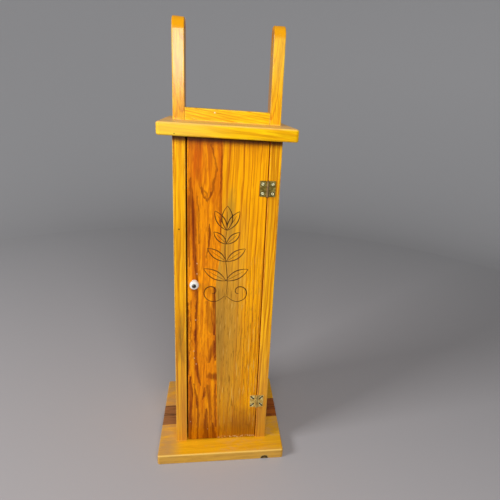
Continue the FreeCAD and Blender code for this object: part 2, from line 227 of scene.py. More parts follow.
def shader_group(name, inputs, outputs):
    """A new node group: its tree, the sockets that it is given and the node that takes its results."""
    tree = bpy.data.node_groups.new(name, "ShaderNodeTree")
    for in_out, sockets in (("INPUT", inputs), ("OUTPUT", outputs)):
        for kind, labels in sockets.items():
            for label in labels:
                tree.interface.new_socket(label, in_out=in_out, socket_type="NodeSocket" + kind)
    return tree, tree.nodes.new("NodeGroupInput").outputs, tree.nodes.new("NodeGroupOutput")


def make_pine_figure():
    """Growth rings round the Z axis of the log, in metres, with streaks and fibres along it."""
    tree, given, result = shader_group(
        "pine_figure",
        {
            "Vector": ["Vector"],
            "Color": ["Early", "Late"],
            "Float": ["Ring Width", "Waver", "Depth", "Crisp", "Streaks"],
        },
        {"Color": ["Color"], "Float": ["Roughness", "Height"]},
    )
    log = given["Vector"]

    def swayed(point, spread, share):
        """The point moved by noise of that many waves a metre, by a share of the waver."""
        push = vectors(tree, "SUBTRACT", noise(tree, point, spread)["Color"], (0.5, 0.5, 0.5))
        amount = maths(tree, "MULTIPLY", given["Waver"], share)
        return vectors(tree, "ADD", point, scaled(tree, push, amount))

    bent = swayed(swayed(log, (24, 24, 5), 1.0), (130, 130, 22), 0.2)
    radius = length_of(tree, vectors(tree, "MULTIPLY", bent, (1, 1, 0)))
    count = maths(tree, "DIVIDE", radius, given["Ring Width"])
    drift = add_node(tree, "TexNoise", {"W": count, "Scale": 0.4}, noise_dimensions="1D").outputs[0]
    count = maths(tree, "MULTIPLY_ADD", drift, 1.6, count)
    share = maths(tree, "FRACT", count)
    year = add_node(tree, "TexWhiteNoise", {"W": maths(tree, "FLOOR", count)}, noise_dimensions="1D")
    rise = smooth_step(tree, share, given["Crisp"], 0.9)
    fall = smooth_step(tree, share, 0.92, 1.0, 1.0, 0.0)
    strength = maths(tree, "MULTIPLY_ADD", year.outputs["Value"], 0.55, 0.45)
    ring = maths(tree, "MULTIPLY", maths(tree, "MULTIPLY", rise, fall), strength)

    fibre = noise(tree, bent, (760, 760, 11), 3.0, 0.6)[0]
    streak = noise(tree, bent, (260, 260, 7), 3.0, 0.65)[0]
    cloud = noise(tree, log, (16, 16, 4))[0]
    color = mix(tree, maths(tree, "MULTIPLY", ring, given["Depth"]), given["Early"], given["Late"])
    dark_streak = maths(tree, "MULTIPLY", smooth_step(tree, streak, 0.62, 0.36, -0.4, 1.4), given["Streaks"])
    shade = maths(tree, "SUBTRACT", smooth_step(tree, fibre, 0.3, 0.7, 0.86, 1.06), dark_streak)
    shade = maths(tree, "MULTIPLY", shade, smooth_step(tree, cloud, 0.3, 0.7, 0.92, 1.06))
    red_shade = maths(tree, "MULTIPLY_ADD", shade, 0.7, 0.3)
    shade_color = add_node(tree, "CombineColor", {0: red_shade, 1: shade, 2: shade}).outputs[0]
    fill(tree, result, {
        "Color": mix(tree, 1.0, color, shade_color, "MULTIPLY"),
        "Roughness": smooth_step(tree, fibre, 0.2, 0.8, 0.30, 0.44),
        "Height": maths(tree, "MULTIPLY_ADD", ring, 0.5, fibre),
    })
    return tree


def make_spot():
    """A mask round a place, white inside the reach and soft or ragged towards its edge."""
    tree, given, result = shader_group(
        "spot",
        {"Vector": ["Vector", "Centre", "Reach"], "Float": ["Ragged", "Core"]},
        {"Float": ["Mask"]},
    )
    offset = vectors(tree, "SUBTRACT", given["Vector"], given["Centre"])
    offset = vectors(tree, "DIVIDE", offset, given["Reach"])
    wobble = maths(tree, "SUBTRACT", noise(tree, offset, (2.5, 2.5, 2.5), 3.0)[0], 0.5)
    far = maths(tree, "MULTIPLY_ADD", wobble, given["Ragged"], length_of(tree, offset))
    fill(tree, result, {"Mask": smooth_step(tree, far, given["Core"], 1.0, 1.0, 0.0)})
    return tree


def make_edge_wear_and_shade():
    """A mask along the arrises of a board, from the distances to its faces, broken up by noise."""
    tree, given, result = shader_group(
        "edge_wear_and_shade",
        {"Vector": ["Vector", "Centre", "Half Size"], "Float": ["Reach"]},
        {"Float": ["Mask"]},
    )
    outward = vectors(tree, "ABSOLUTE", vectors(tree, "SUBTRACT", given["Vector"], given["Centre"]))
    room = add_node(tree, "SeparateXYZ", {0: vectors(tree, "SUBTRACT", given["Half Size"], outward)}).outputs
    nearer = maths(tree, "MINIMUM", room[0], room[1])
    further = maths(tree, "MAXIMUM", room[0], room[1])
    second = maths(tree, "MAXIMUM", nearer, maths(tree, "MINIMUM", further, room[2]))
    rub = noise(tree, given["Vector"], (90, 90, 90), 3.0)[0]
    reach = maths(tree, "MULTIPLY", given["Reach"], smooth_step(tree, rub, 0.3, 0.7, 0.3, 1.3))
    share = maths(tree, "DIVIDE", second, reach)
    fill(tree, result, {"Mask": smooth_step(tree, share, 0.2, 1.0, 1.0, 0.0)})
    return tree


pine_figure = make_pine_figure()
spot = make_spot()
edge_wear_and_shade = make_edge_wear_and_shade()


def dress(node, material):
    nodes[node].material_slots[0].material = material


def place_on(material):
    """The place on the object, in metres, that the material's patterns read."""
    return material.node_tree.nodes["Texture Coordinate"].outputs["Object"]


def lay_over(color, mask):
    """Lays a colour over what the mask's material has so far, where the mask is white."""
    tree = mask.id_data
    base = tree.nodes["Principled BSDF"].inputs["Base Color"]
    tree.links.new(mix(tree, mask, base.links[0].from_socket, color), base)


def spot_mask(material, centre, reach, ragged=0.5, core=0.4, strength=1.0):
    """The mask of one spot, with its place and reach in millimetres."""
    tree = material.node_tree
    inputs = {
        "Vector": place_on(material),
        "Centre": Vector(centre) * mm,
        "Reach": Vector(reach) * mm,
        "Ragged": ragged,
        "Core": core,
    }
    mask = add_node(tree, "Group", inputs, node_tree=spot).outputs["Mask"]
    return mask if strength == 1.0 else maths(tree, "MULTIPLY", mask, strength)


def band_mask(material, axis, start, end, strength=1.0):
    """A mask that goes from nothing to its strength between two places on an axis, in millimetres."""
    tree = material.node_tree
    along = add_node(tree, "SeparateXYZ", {0: place_on(material)}).outputs["XYZ".index(axis)]
    return smooth_step(tree, along, start * mm, end * mm, 0.0, strength)


def edge_mask(material, node, reach, strength):
    """The mask of a piece's arrises, with its reach in millimetres: worn edges on the boards and the lower
    hinge, painted shade on the upper hinge's edges.
    """
    tree = material.node_tree
    low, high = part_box(node)
    inputs = {
        "Vector": place_on(material),
        "Centre": (low + high) / 2,
        "Half Size": (high - low) / 2,
        "Reach": reach * mm,
    }
    mask = add_node(tree, "Group", inputs, node_tree=edge_wear_and_shade).outputs["Mask"]
    return maths(tree, "MULTIPLY", mask, strength)


def raised(tree, height, strength, distance):
    """The normal of a surface that is raised where the height is white, by a distance in millimetres."""
    inputs = {"Height": height, "Strength": strength, "Distance": distance * mm}
    return add_node(tree, "Bump", inputs).outputs["Normal"]


varnish_sheen = 0.08
varnish_roughness = 0.2


def varnished_board(node, early, late, grain, heart, lean, ring_width, waver, depth,
                    crisp=0.3, streaks=0.2, edge_color=None, gloss=0.2):
    """Dresses a board in varnished pine. heart is where the log's heart lies from the board's middle, in
    millimetres, and lean is how far the log leans from the grain axis, in degrees."""
    low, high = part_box(node)
    turns = {"X": (0, 90 + lean[0], lean[1]), "Z": (lean[0], lean[1], 0)}
    material, tree, shader, place = new_material(node + "_varnish")
    mapping = {
        "Vector": place,
        "Location": (low + high) / 2 + Vector(heart) * mm,
        "Rotation": [math.radians(angle) for angle in turns[grain]],
    }
    log = add_node(tree, "Mapping", mapping, vector_type="TEXTURE").outputs["Vector"]
    sawn = {
        "Vector": log,
        "Early": early,
        "Late": late,
        "Ring Width": ring_width * mm,
        "Waver": waver * mm,
        "Depth": depth,
        "Crisp": crisp,
        "Streaks": streaks,
    }
    figure = add_node(tree, "Group", sawn, node_tree=pine_figure).outputs
    fill(tree, shader, {
        "Base Color": figure["Color"],
        "Roughness": figure["Roughness"],
        "Normal": raised(tree, figure["Height"], strength=0.25, distance=0.25),
        "Specular IOR Level": varnish_sheen,
        "Coat Weight": gloss,
        "Coat Roughness": varnish_roughness,
    })
    if edge_color:
        lay_over(edge_color, edge_mask(material, node, reach=2.0, strength=0.6))
    dress(node, material)
    return material


base_pale = tone(250, 184, 26)
base_late = tone(232, 154, 16)
base_worn = tone(252, 202, 90)
base_front = varnished_board("base_front_board", base_pale, base_late, "X", (30, 10, -60), (1.5, 1.0),
                             ring_width=6.5, waver=8, depth=0.3, streaks=0.07, edge_color=base_worn)
base_rear = varnished_board("base_rear_board", base_pale, base_late, "X", (-20, -15, -50), (-1.0, 1.5),
                            ring_width=5.5, waver=7, depth=0.3, streaks=0.07, edge_color=base_worn)


def patch_mask(material, spread, low, high):
    """A mask of cloudy patches, so many in a metre along each axis, from low to high noise."""
    tree = material.node_tree
    return smooth_step(tree, noise(tree, place_on(material), spread, 4.0, 0.6)[0], low, high)


def both(first, second):
    return maths(first.id_data, "MULTIPLY", first, second)


for board in (base_front, base_rear):
    fine_wear = patch_mask(board, (90, 150, 150), 0.3, 0.7)
    scuffs = both(patch_mask(board, (14, 22, 22), 0.48, 0.68), fine_wear)
    lay_over(tone(230, 170, 84), scuffs)
    # The left end of the base's top is painted tan: painted shade and a painted reflection of the grey wall.
    left_end_reflection_shade = both(band_mask(board, "X", -66, -98, 0.7), patch_mask(board, (24, 60, 60), 0.2, 0.6))
    lay_over(tone(188, 146, 100), left_end_reflection_shade)
base_front_face = -115
base_top = 18
bare_front = band_mask(base_front, "Y", base_front_face + 1.2, base_front_face + 0.4, 0.8)
lay_over(tone(214, 164, 70), bare_front)
rough_saw = both(bare_front, patch_mask(base_front, (26, 160, 240), 0.42, 0.68))
lay_over(tone(176, 124, 52), both(rough_saw, 0.6))
# A painted highlight: a bright line along the base's top front arris.
arris_highlight = both(band_mask(base_front, "Y", base_front_face + 3, base_front_face + 1.6),
             band_mask(base_front, "Z", base_top - 3, base_top - 1.2, 0.6))
lay_over(tone(250, 208, 108), arris_highlight)

joint_slant = math.radians(3.3)
strip_seam = 3.7


def seam_mask(material):
    """A mask along the joint between the two dark strips, which runs askew across the base."""
    tree = material.node_tree
    place = dot(tree, place_on(material), (-math.sin(joint_slant), math.cos(joint_slant), 0))
    aside = maths(tree, "ABSOLUTE", maths(tree, "SUBTRACT", place, strip_seam * mm))
    return smooth_step(tree, aside, 1.6 * mm, 0.4 * mm, 0.0, 0.85)


for strip, heart in (("base_dark_strip_front", (0, 12, -40)), ("base_dark_strip_rear", (0, -10, -45))):
    dark_strip = varnished_board(strip, tone(176, 94, 14), tone(124, 60, 6), "X", heart, (0.8, 0.6),
                                 ring_width=3.0, waver=4, depth=0.7, edge_color=tone(170, 118, 74))
    # The strips' left parts are painted a lighter grey-brown: a painted reflection of the light from the
    # left.
    lay_over(tone(152, 112, 72), band_mask(dark_strip, "X", 10, -104, 0.75))
    lay_over(tone(84, 52, 24), patch_mask(dark_strip, (30, 260, 260), 0.52, 0.72))
    lay_over(tone(44, 24, 8), seam_mask(dark_strip))

# Each ring of the knot, from the outside in: its colour, its reach in millimetres and its solid core.
knot_place = (78.5, base_front_face, 1.8)
knot_rings = (
    (tone(196, 158, 84), (10, 8, 8), 0.7),
    (tone(54, 40, 14), (7.6, 6, 6), 0.7),
    (tone(118, 92, 40), (4.4, 5, 3), 0.5),
)
for color, reach, core in knot_rings:
    lay_over(color, spot_mask(base_front, knot_place, reach, 0.4, core))


# The base is held by five countersunk steel wood screws, driven up from below into the sides and the
# back. Each is turned with a tapered head, a plain neck and a thread, and its head is sawn with a slot.
screw_segments = 24
slot_width_share = 0.15
slot_depth_share = 0.4
head_rim = 0.15
neck_share = 0.35
thread_root_share = 0.72
thread_pitch_share = 0.8
taper_share = 0.7
tip_share = 0.08
crease_angle = math.radians(35)


def make_tarnish():
    """Metal that age has clouded and spotted, from a polished colour to a tarnished one."""
    tree, given, result = shader_group(
        "tarnish",
        {"Vector": ["Vector"], "Color": ["Polished", "Tarnished"], "Float": ["Amount"]},
        {"Color": ["Color"], "Float": ["Roughness", "Height"]},
    )
    cloud = noise(tree, given["Vector"], (230, 230, 230), 4.0, 0.6)[0]
    speck = noise(tree, given["Vector"], (1500, 1500, 1500))[0]
    grime = maths(tree, "MULTIPLY_ADD", speck, 0.45, cloud)
    edge = maths(tree, "SUBTRACT", 1.2, given["Amount"])
    dull = smooth_step(tree, grime, maths(tree, "SUBTRACT", edge, 0.2), maths(tree, "ADD", edge, 0.2))
    fill(tree, result, {
        "Color": mix(tree, dull, given["Polished"], given["Tarnished"]),
        "Roughness": maths(tree, "MULTIPLY_ADD", dull, 0.25, 0.24),
        "Height": speck,
    })
    return tree


tarnish = make_tarnish()


def aged_metal(name, polished, tarnished, amount, metallic=1.0):
    material, tree, shader, place = new_material(name)
    aged = {"Vector": place, "Polished": polished, "Tarnished": tarnished, "Amount": amount}
    finish = add_node(tree, "Group", aged, node_tree=tarnish).outputs
    fill(tree, shader, {
        "Base Color": finish["Color"],
        "Roughness": finish["Roughness"],
        "Normal": raised(tree, finish["Height"], strength=0.2, distance=0.1),
        "Metallic": metallic,
    })
    return material


def slotted_screw(profile, head_top, head_radius, slot_depth):
    """A screw about Z, drawn down ring by ring through (radius, height) pairs in millimetres from the rim
    of its head to its tip, then closed at both ends and sawn across the head."""
    bpy.ops.object.select_all(action="DESELECT")
    first_radius, first_height = profile[0]
    bpy.ops.mesh.primitive_circle_add(vertices=screw_segments, radius=first_radius * mm, fill_type="NGON",
                                      location=(0, 0, first_height * mm))
    screw = bpy.context.object
    bpy.ops.object.transform_apply()
    bpy.ops.object.mode_set(mode="EDIT")
    bpy.ops.mesh.select_mode(type="EDGE")
    for (radius, height), (next_radius, next_height) in zip(profile, profile[1:]):
        bpy.ops.mesh.extrude_edges_move(TRANSFORM_OT_translate={"value": (0, 0, (next_height - height) * mm)})
        bpy.ops.transform.resize(value=(next_radius / radius, next_radius / radius, 1))
    bpy.ops.mesh.edge_face_add()
    bpy.ops.mesh.select_all(action="SELECT")
    bpy.ops.mesh.normals_make_consistent(inside=False)
    bpy.ops.object.mode_set(mode="OBJECT")

    slot_width = 2 * slot_width_share * head_radius
    slot_size = Vector((3 * head_radius, slot_width, 2 * slot_depth)) * mm
    bpy.ops.mesh.primitive_cube_add(size=1, location=(0, 0, head_top * mm), scale=slot_size)
    saw = bpy.context.object
    cut = screw.modifiers.new("slot", "BOOLEAN")
    cut.operation = "DIFFERENCE"
    cut.object = saw
    bpy.context.view_layer.objects.active = screw
    bpy.ops.object.modifier_apply(modifier="slot")
    bpy.data.objects.remove(saw)
    return screw


def threaded(radius, start, end):
    """The rings of a thread of that radius that runs down from start and tapers to a point at end."""
    pitch = radius * thread_pitch_share
    rings = []
    for turn in range(int((start - end - 2 * radius) / pitch)):
        root = start - turn * pitch
        rings += [(radius * thread_root_share, root), (radius, root - pitch / 2)]
    return rings + [(radius * taper_share, end + 2 * radius), (radius * tip_share, end)]


def flat_head_screw(radius, head_radius, length):
    neck = -length * neck_share
    profile = [
        (head_radius, 0),
        (head_radius, -head_rim),
        (radius, radius - head_radius - head_rim),
        (radius, neck),
    ]
    profile += threaded(radius, neck - 0.1, -length)
    return slotted_screw(profile, 0, head_radius, slot_depth_share * (head_radius - radius))


def joined(pieces, name):
    bpy.ops.object.select_all(action="DESELECT")
    for piece in pieces:
        piece.select_set(True)
    bpy.context.view_layer.objects.active = pieces[0]
    bpy.ops.object.join()
    whole = bpy.context.object
    whole.name = name
    return whole


def set_in(pattern, name, seats, material, body, node):
    """Copies a screw to each seat, its place in millimetres, the way its head faces and the turn of its
    slot in degrees, as one piece that stands for the node."""
    copies = []
    for place, facing, slot_turn in seats:
        copy = pattern.copy()
        copy.data = pattern.data.copy()
        bpy.context.collection.objects.link(copy)
        aim = Vector(facing).to_track_quat("Z", "Y").to_matrix().to_4x4()
        copy.matrix_world = (
            Matrix.Translation(Vector(place) * mm) @ aim @ Matrix.Rotation(math.radians(slot_turn), 4, "Z")
        )
        copies.append(copy)
    piece = joined(copies, name)
    bpy.ops.object.transform_apply()
    bpy.ops.object.shade_smooth_by_angle(angle=crease_angle)
    piece.data.materials.clear()
    piece.data.materials.append(material)
    bpy.data.objects.remove(pattern)
    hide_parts(node)
    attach(piece, body)


dark_steel = aged_metal("dark_steel", tone(150, 146, 140), tone(74, 66, 58), 0.62)
base_screw_sink = 1.0
base_screw_turns = {(-73, -48): 20, (73, -48): 75, (-73, 57): 130, (73, 57): 165, (0, 77.5): 40}
set_in(
    flat_head_screw(radius=2.1, head_radius=4.2, length=38),
    "slotted_base_screws",
    [((x, y, base_screw_sink), (0, 0, -1), turn) for (x, y), turn in base_screw_turns.items()],
    dark_steel, "carcass", "base_screws",
)


# The carcass is two pine side boards with the back board nailed between them. The sides' front edges
# show as stiles on both sides of the door. Steel finishing nails hold the back, driven flush.
side_pale = tone(255, 184, 14)
side_late = tone(208, 114, 0)
side_worn = tone(254, 204, 70)
side_figure = dict(ring_width=3.2, waver=5, depth=0.75, crisp=0.5, streaks=0.3, edge_color=side_worn)
carcass_front = -78
cap_underside = 571
left_side = varnished_board("left_side", side_pale, side_late, "Z", (-55, 30, 0), (0.5, 0.4), **side_figure)
right_side = varnished_board("right_side", side_pale, side_late, "Z", (60, 40, 0), (-0.5, 0.3), **side_figure)
varnished_board("back_panel", side_pale, side_late, "Z", (12, 45, 0), (1.2, 0.6),
                ring_width=5.5, waver=7, depth=0.8, crisp=0.4, streaks=0.26)


def shadow_and_soil_under_cap(board):
    """A painted shadow under the top board, with grime in the corner. It is darkest just under the board and
    fades out below.
    """
    lay_over(tone(64, 32, 2), band_mask(board, "Z", cap_underside - 10, cap_underside - 3, 0.85))


for side in (left_side, right_side):
    shadow_and_soil_under_cap(side)
    # Painted shade: the stiles are dulled towards the bottom, where less light falls.
    lay_over(tone(206, 144, 76), band_mask(side, "Z", 300, 60, 0.35))
dent = spot_mask(left_side, (-74, carcass_front, 427), (1.8, 3, 1.6), 0.6, 0.4)
lay_over(tone(70, 42, 12), dent)
handled_edge = both(spot_mask(left_side, (-72, carcass_front, 225), (11, 30, 75), 0.9, 0.1, 0.8),
                    patch_mask(left_side, (340, 340, 40), 0.3, 0.65))
lay_over(tone(150, 108, 36), handled_edge)
hinge_gap_face = 63.5
# Painted light: the right stile's face inside the hinge-side gap is painted bright red-orange, so that the
# shaded gap looks thinner and redder.
painted_gap_light = both(band_mask(right_side, "X", hinge_gap_face + 0.8, hinge_gap_face + 0.2),
               band_mask(right_side, "Y", carcass_front + 11, carcass_front + 7))
lay_over(tone(234, 116, 18), painted_gap_light)
lay_over(tone(140, 84, 8), band_mask(right_side, "Z", 130, 30, 0.3))
dress("back_nails", dark_steel)


# The top board, a pine slab with rounded corners and arrises that overhangs the carcass all round, is
# nailed down through its top with the same finishing nails.
cap_pale = tone(255, 200, 8)
cap_late = tone(236, 152, 2)
top_cap = varnished_board("top_cap", cap_pale, cap_late, "X", (40, 30, -70), (2.5, 1.0),
                          ring_width=6.5, waver=9, depth=0.7, streaks=0.18, edge_color=tone(255, 218, 84),
                          gloss=0.1)
cap_front_face = -99
cap_top = 590
# A painted sheen pales the left part of the top board's front.
cap_front_sheen = both(band_mask(top_cap, "X", 20, -80, 0.5),
                   band_mask(top_cap, "Y", cap_front_face + 3, cap_front_face + 1))
lay_over(tone(252, 212, 84), cap_front_sheen)
# The top board's upper face is paled towards cream by a painted sheen.
lay_over(tone(240, 190, 128), band_mask(top_cap, "Z", cap_top - 3, cap_top - 0.5, 0.5))
lay_over(tone(110, 70, 10), spot_mask(top_cap, (-77.7, cap_front_face, 574.5), (1.2, 2, 1.2), 0.4))
dress("cap_nails", dark_steel)


# The yoke is two round-topped pine uprights with a rail between their feet. The grooves in the uprights
# hold the spindle of a roll. Screws from under the top board and nails through the uprights fix it.
yoke_pale = tone(255, 190, 16)
yoke_late = tone(226, 138, 2)
yoke_worn = tone(255, 212, 88)
crown_start = 718
inner_face = 67.75
for upright, heart, lean, side in (
    ("yoke_left_upright", (6, 30, -60), (3.0, 2.0), -1),
    ("yoke_right_upright", (-8, 26, -80), (3.5, -2.5), 1),
):
    yoke_upright = varnished_board(upright, yoke_pale, yoke_late, "Z", heart, lean, ring_width=2.3, waver=5,
                                   depth=0.9, crisp=0.55, streaks=0.22, edge_color=yoke_worn, gloss=0.5)
    # A painted highlight pales the uprights' upper parts.
    lay_over(tone(255, 212, 100), band_mask(yoke_upright, "Z", 625, 690, 0.25))
    lay_over(tone(238, 160, 0), band_mask(yoke_upright, "Z", crown_start, crown_start + 6, 0.9))
    # Painted shade darkens the uprights' inner faces.
    inner_face_shade = band_mask(yoke_upright, "X", side * (inner_face + 1.4), side * (inner_face + 0.4), 0.6)
    lay_over(tone(146, 88, 16), inner_face_shade)
yoke_rail = varnished_board("yoke_rail", tone(255, 204, 18), yoke_late, "X", (-60, 24, -24), (3.0, 3.0),
                            ring_width=2.0, waver=5, depth=0.9, crisp=0.5, streaks=0.16, edge_color=yoke_worn)
lay_over(tone(255, 240, 190), spot_mask(yoke_rail, (-21, -14.5, 603.7), (1.8, 2, 1.4), 0.3, 0.4))
dress("rail_nails", dark_steel)
yoke_middle = 4.5
yoke_screw_turns = {-77.25: 15, -35: 100, 35: 55, 77.25: 140}
set_in(
    flat_head_screw(radius=2.1, head_radius=4.2, length=30),
    "slotted_yoke_screws",
    [((x, yoke_middle, cap_underside), (0, 0, -1), turn) for x, turn in yoke_screw_turns.items()],
    dark_steel, "carcass", "yoke_screws",
)


# The door's left board is heartwood sawn near the heart. Its figure is a flame, long dark red-brown
# streaks on orange, and paler sapwood edges it at the right in its lower two thirds.
door_face = carcass_front
through_door = 60


def make_streak():
    """A mask along a line in the face of the door, with a half width at its start and at its end."""
    tree, given, result = shader_group(
        "streak",
        {"Vector": ["Vector", "Start", "Run"], "Float": ["Start Width", "End Width"]},
        {"Float": ["Mask"]},
    )
    run = given["Run"]
    offset = vectors(tree, "MULTIPLY", vectors(tree, "SUBTRACT", given["Vector"], given["Start"]), (1, 0, 1))
    share = maths(tree, "DIVIDE", dot(tree, offset, run), dot(tree, run, run))
    share = add_node(tree, "Clamp", {"Value": share}).outputs[0]
    aside = length_of(tree, vectors(tree, "SUBTRACT", offset, scaled(tree, run, share)))
    growth = maths(tree, "SUBTRACT", given["End Width"], given["Start Width"])
    reach = maths(tree, "MULTIPLY_ADD", growth, share, given["Start Width"])
    fill(tree, result, {"Mask": smooth_step(tree, maths(tree, "DIVIDE", aside, reach), 1.1, 0.3)})
    return tree


streak = make_streak()


def streak_mask(material, place, start, end):
    """The mask of one streak between two ends: across, height and half width of each, in millimetres."""
    (x_start, z_start, start_width), (x_end, z_end, end_width) = start, end
    line = {
        "Vector": place,
        "Start": Vector((x_start, 0, z_start)) * mm,
        "Run": Vector((x_end - x_start, 0, z_end - z_start)) * mm,
        "Start Width": start_width * mm,
        "End Width": end_width * mm,
    }
    return add_node(material.node_tree, "Group", line, node_tree=streak).outputs["Mask"]


def grain_mask(material, across, along, low, high, start=0.0):
    """A mask of streaks along Z, so many across and along in a metre, from low to high noise."""
    tree = material.node_tree
    fine = noise(tree, place_on(material), (across, across, along), 3.0, 0.6)[0]
    return smooth_step(tree, fine, low, high, start, 1.0)


flame_pale = tone(255, 158, 0)
flame_late = tone(212, 98, 0)
flame_dark = tone(118, 38, 0)
door_left = varnished_board("door_left_board", flame_pale, flame_late, "Z", (4, 26, -40), (2.4, 1.2),
                            ring_width=8.0, waver=16, depth=0.5, streaks=0.24)

# Each strand of the flame: its strength, then across, height and half width where it bends, in millimetres.
flame_strands = (
    (0.4, (-44, 566, 6), (-46, 535, 7.5), (-44, 512, 6), (-40, 494, 3)),
    (0.8, (-40, 494, 3), (-36, 481, 2.2), (-31, 475.5, 2.4), (-26, 480, 2.4), (-23, 490, 2.2)),
    (0.75, (-23, 490, 2.2), (-20, 508, 1.7), (-16.5, 524, 2), (-21, 546, 1.4), (-26, 561, 1)),
    (0.6, (-36, 491, 1.4), (-31, 485, 2.2), (-30, 478, 1.4)),
    (0.85, (-9, 560, 1.4), (-9.5, 500, 2), (-9.5, 455, 2.6), (-8, 420, 1)),
    (0.9, (-57, 508, 2.5), (-54, 470, 4.5), (-51, 440, 5), (-50, 385, 3.6), (-46, 345, 3), (-46, 300, 3.4)),
    (0.6, (-46, 480, 1.6), (-44, 440, 2.4), (-43, 405, 1.8)),
    (0.65, (-58, 480, 2.4), (-59, 420, 3), (-58, 365, 1.6)),
    (0.85, (-27, 436, 1.4), (-26, 421, 3.4), (-27, 406, 2), (-31, 380, 1.2)),
    (0.95, (-18, 328, 2), (-17, 303, 4.6), (-16, 260, 5.6), (-16, 240, 2.6)),
    (0.8, (-60, 300, 1.2), (-60.5, 230, 2.2), (-60, 160, 1.6)),
    (1.0, (-46, 300, 3.4), (-47, 250, 3.2), (-48, 190, 3.2), (-44, 160, 3.8), (-40, 138, 1.4)),
    (0.75, (-56, 304, 1.2), (-56, 250, 1.7), (-57, 210, 1.2)),
    (1.0, (-14, 240, 1.2), (-14, 216, 2.6), (-14, 188, 1.6)),
    (0.5, (-28, 300, 5), (-24, 272, 9), (-23, 246, 5)),
    (0.7, (-16, 228, 3), (-20, 207, 7), (-25, 186, 3)),
    (0.85, (-24, 157, 7), (-17, 155, 9), (-11, 155, 9)),
    (0.95, (-57, 156, 2), (-55, 120, 3.6), (-57, 85, 4), (-58, 55, 5.4), (-60, 18, 6)),
    (0.9, (-51, 141, 1.2), (-46, 108, 2.3), (-43, 82, 2.3), (-43.5, 55, 1.9), (-45, 18, 2.6)),
    (0.9, (-32, 132, 1.8), (-33, 118, 3.3), (-36, 106, 1.2)),
    (0.65, (-26, 136, 4), (-24, 110, 5), (-20, 70, 2.4), (-19, 18, 2.4)),
    (0.75, (-13, 138, 1.4), (-13, 100, 2.6), (-11, 48, 2.4)),
    (1.0, (-28, 86, 2.4), (-29, 60, 5.5), (-28, 18, 8)),
    (0.9, (-17, 56, 1.8), (-15, 36, 4.6), (-13, 18, 5.6)),
)
flame_tree = door_left.node_tree
push = noise(flame_tree, place_on(door_left), (230, 230, 60), 5.0, 0.7)["Color"]
push = vectors(flame_tree, "SUBTRACT", push, (0.5, 0.5, 0.5))
push = vectors(flame_tree, "MULTIPLY", push, (0.008, 0, 0.014))
licking = vectors(flame_tree, "ADD", place_on(door_left), push)
flame = 0.0
for strength, *bends in flame_strands:
    for start, end in zip(bends, bends[1:]):
        strand = both(streak_mask(door_left, licking, start, end), strength)
        flame = maths(flame_tree, "MAXIMUM", flame, strand)

# Each red glow: its colour, its middle and its reach across and up, in millimetres, then how ragged its
# edge is and its strength.
red_glows = (
    (tone(190, 80, 0), (-53, 430), (13, 130), 0.7, 0.5),
    (tone(226, 92, 0), (-45, 532), (11, 50), 0.8, 0.6),
    (tone(206, 92, 0), (-10, 520), (9, 100), 0.7, 0.4),
)
for color, (x, z), (reach_across, reach_up), ragged, strength in red_glows:
    reach = (reach_across, through_door, reach_up)
    lay_over(color, spot_mask(door_left, (x, door_face, z), reach, ragged, 0.2, strength))
mottle = both(grain_mask(door_left, 280, 55, 0.48, 0.68), 0.4)
lay_over(tone(176, 74, 0), mottle)
lay_over(flame_dark, both(flame, grain_mask(door_left, 420, 14, 0.34, 0.6, 0.5)))

sapwood_swell = both(band_mask(door_left, "Z", 0, 330), band_mask(door_left, "Z", 405, 330))
sapwood_edge = maths(flame_tree, "MULTIPLY_ADD", sapwood_swell, -7.5 * mm, -7.4 * mm)
across_door = add_node(flame_tree, "SeparateXYZ", {0: place_on(door_left)}).outputs["X"]
past_edge = maths(flame_tree, "SUBTRACT", across_door, sapwood_edge)
sapwood = smooth_step(flame_tree, past_edge, -0.6 * mm, 0.6 * mm)
lay_over(tone(228, 158, 34), sapwood)
fleck_places = ((-46, 370), (-46, 352), (-48, 268), (-51, 208), (-50, 194), (-47, 182), (-26, 42), (-57, 60))
for x, z in fleck_places:
    fleck = spot_mask(door_left, (x, door_face, z), (1.1, 4, 1.6), 0.8, 0.3, 0.8)
    lay_over(tone(236, 196, 150), fleck)


# The door's right board is paler and straight-grained, glued to the left one edge to edge. Hands and damp
# have greyed the varnish down its left half. Both door boards are darker towards the bottom, and the right
# board's bottom edge is chipped.
door_right = varnished_board("door_right_board", tone(255, 174, 0), tone(196, 98, 0), "Z", (-70, 36, 0),
                             (0.4, 0.3), ring_width=6.0, waver=10, depth=0.95, crisp=0.58, streaks=0.2)

# Each stain: its colour, its middle and its reach across and up, in millimetres, and its strength.
stains = (
    (tone(176, 130, 30), (7, 450), (11, 66), 0.8),
    (tone(198, 142, 46), (4, 255), (46, 285), 0.9),
    (tone(160, 118, 46), (-8, 225), (15, 150), 0.6),
    (tone(224, 152, 22), (-1, 80), (11, 70), 0.5),
    (tone(164, 100, 24), (40, 40), (50, 66), 0.75),
)
for board, wood in ((door_left, sapwood), (door_right, 1.0)):
    zone = both(band_mask(board, "Y", door_face + 12, door_face + 2), wood)
    for color, (x, z), (reach_across, reach_up), strength in stains:
        reach = (reach_across, through_door, reach_up)
        stain = spot_mask(board, (x, door_face, z), reach, 0.9, 0.1, strength)
        lay_over(color, both(stain, zone))
    weathered = both(band_mask(board, "Z", 440, 290, 0.7), zone)
    lay_over(tone(134, 86, 18), both(weathered, grain_mask(board, 600, 36, 0.54, 0.66)))
    lay_over(tone(232, 178, 84), both(weathered, grain_mask(board, 480, 30, 0.58, 0.7)))
    lay_over(tone(146, 80, 6), band_mask(board, "Z", 120, 20, 0.5))
    shadow_and_soil_under_cap(board)
chips = both(grain_mask(door_right, 420, 420, 0.52, 0.6), band_mask(door_right, "Z", 26, 21, 0.9))
lay_over(tone(240, 210, 150), chips)


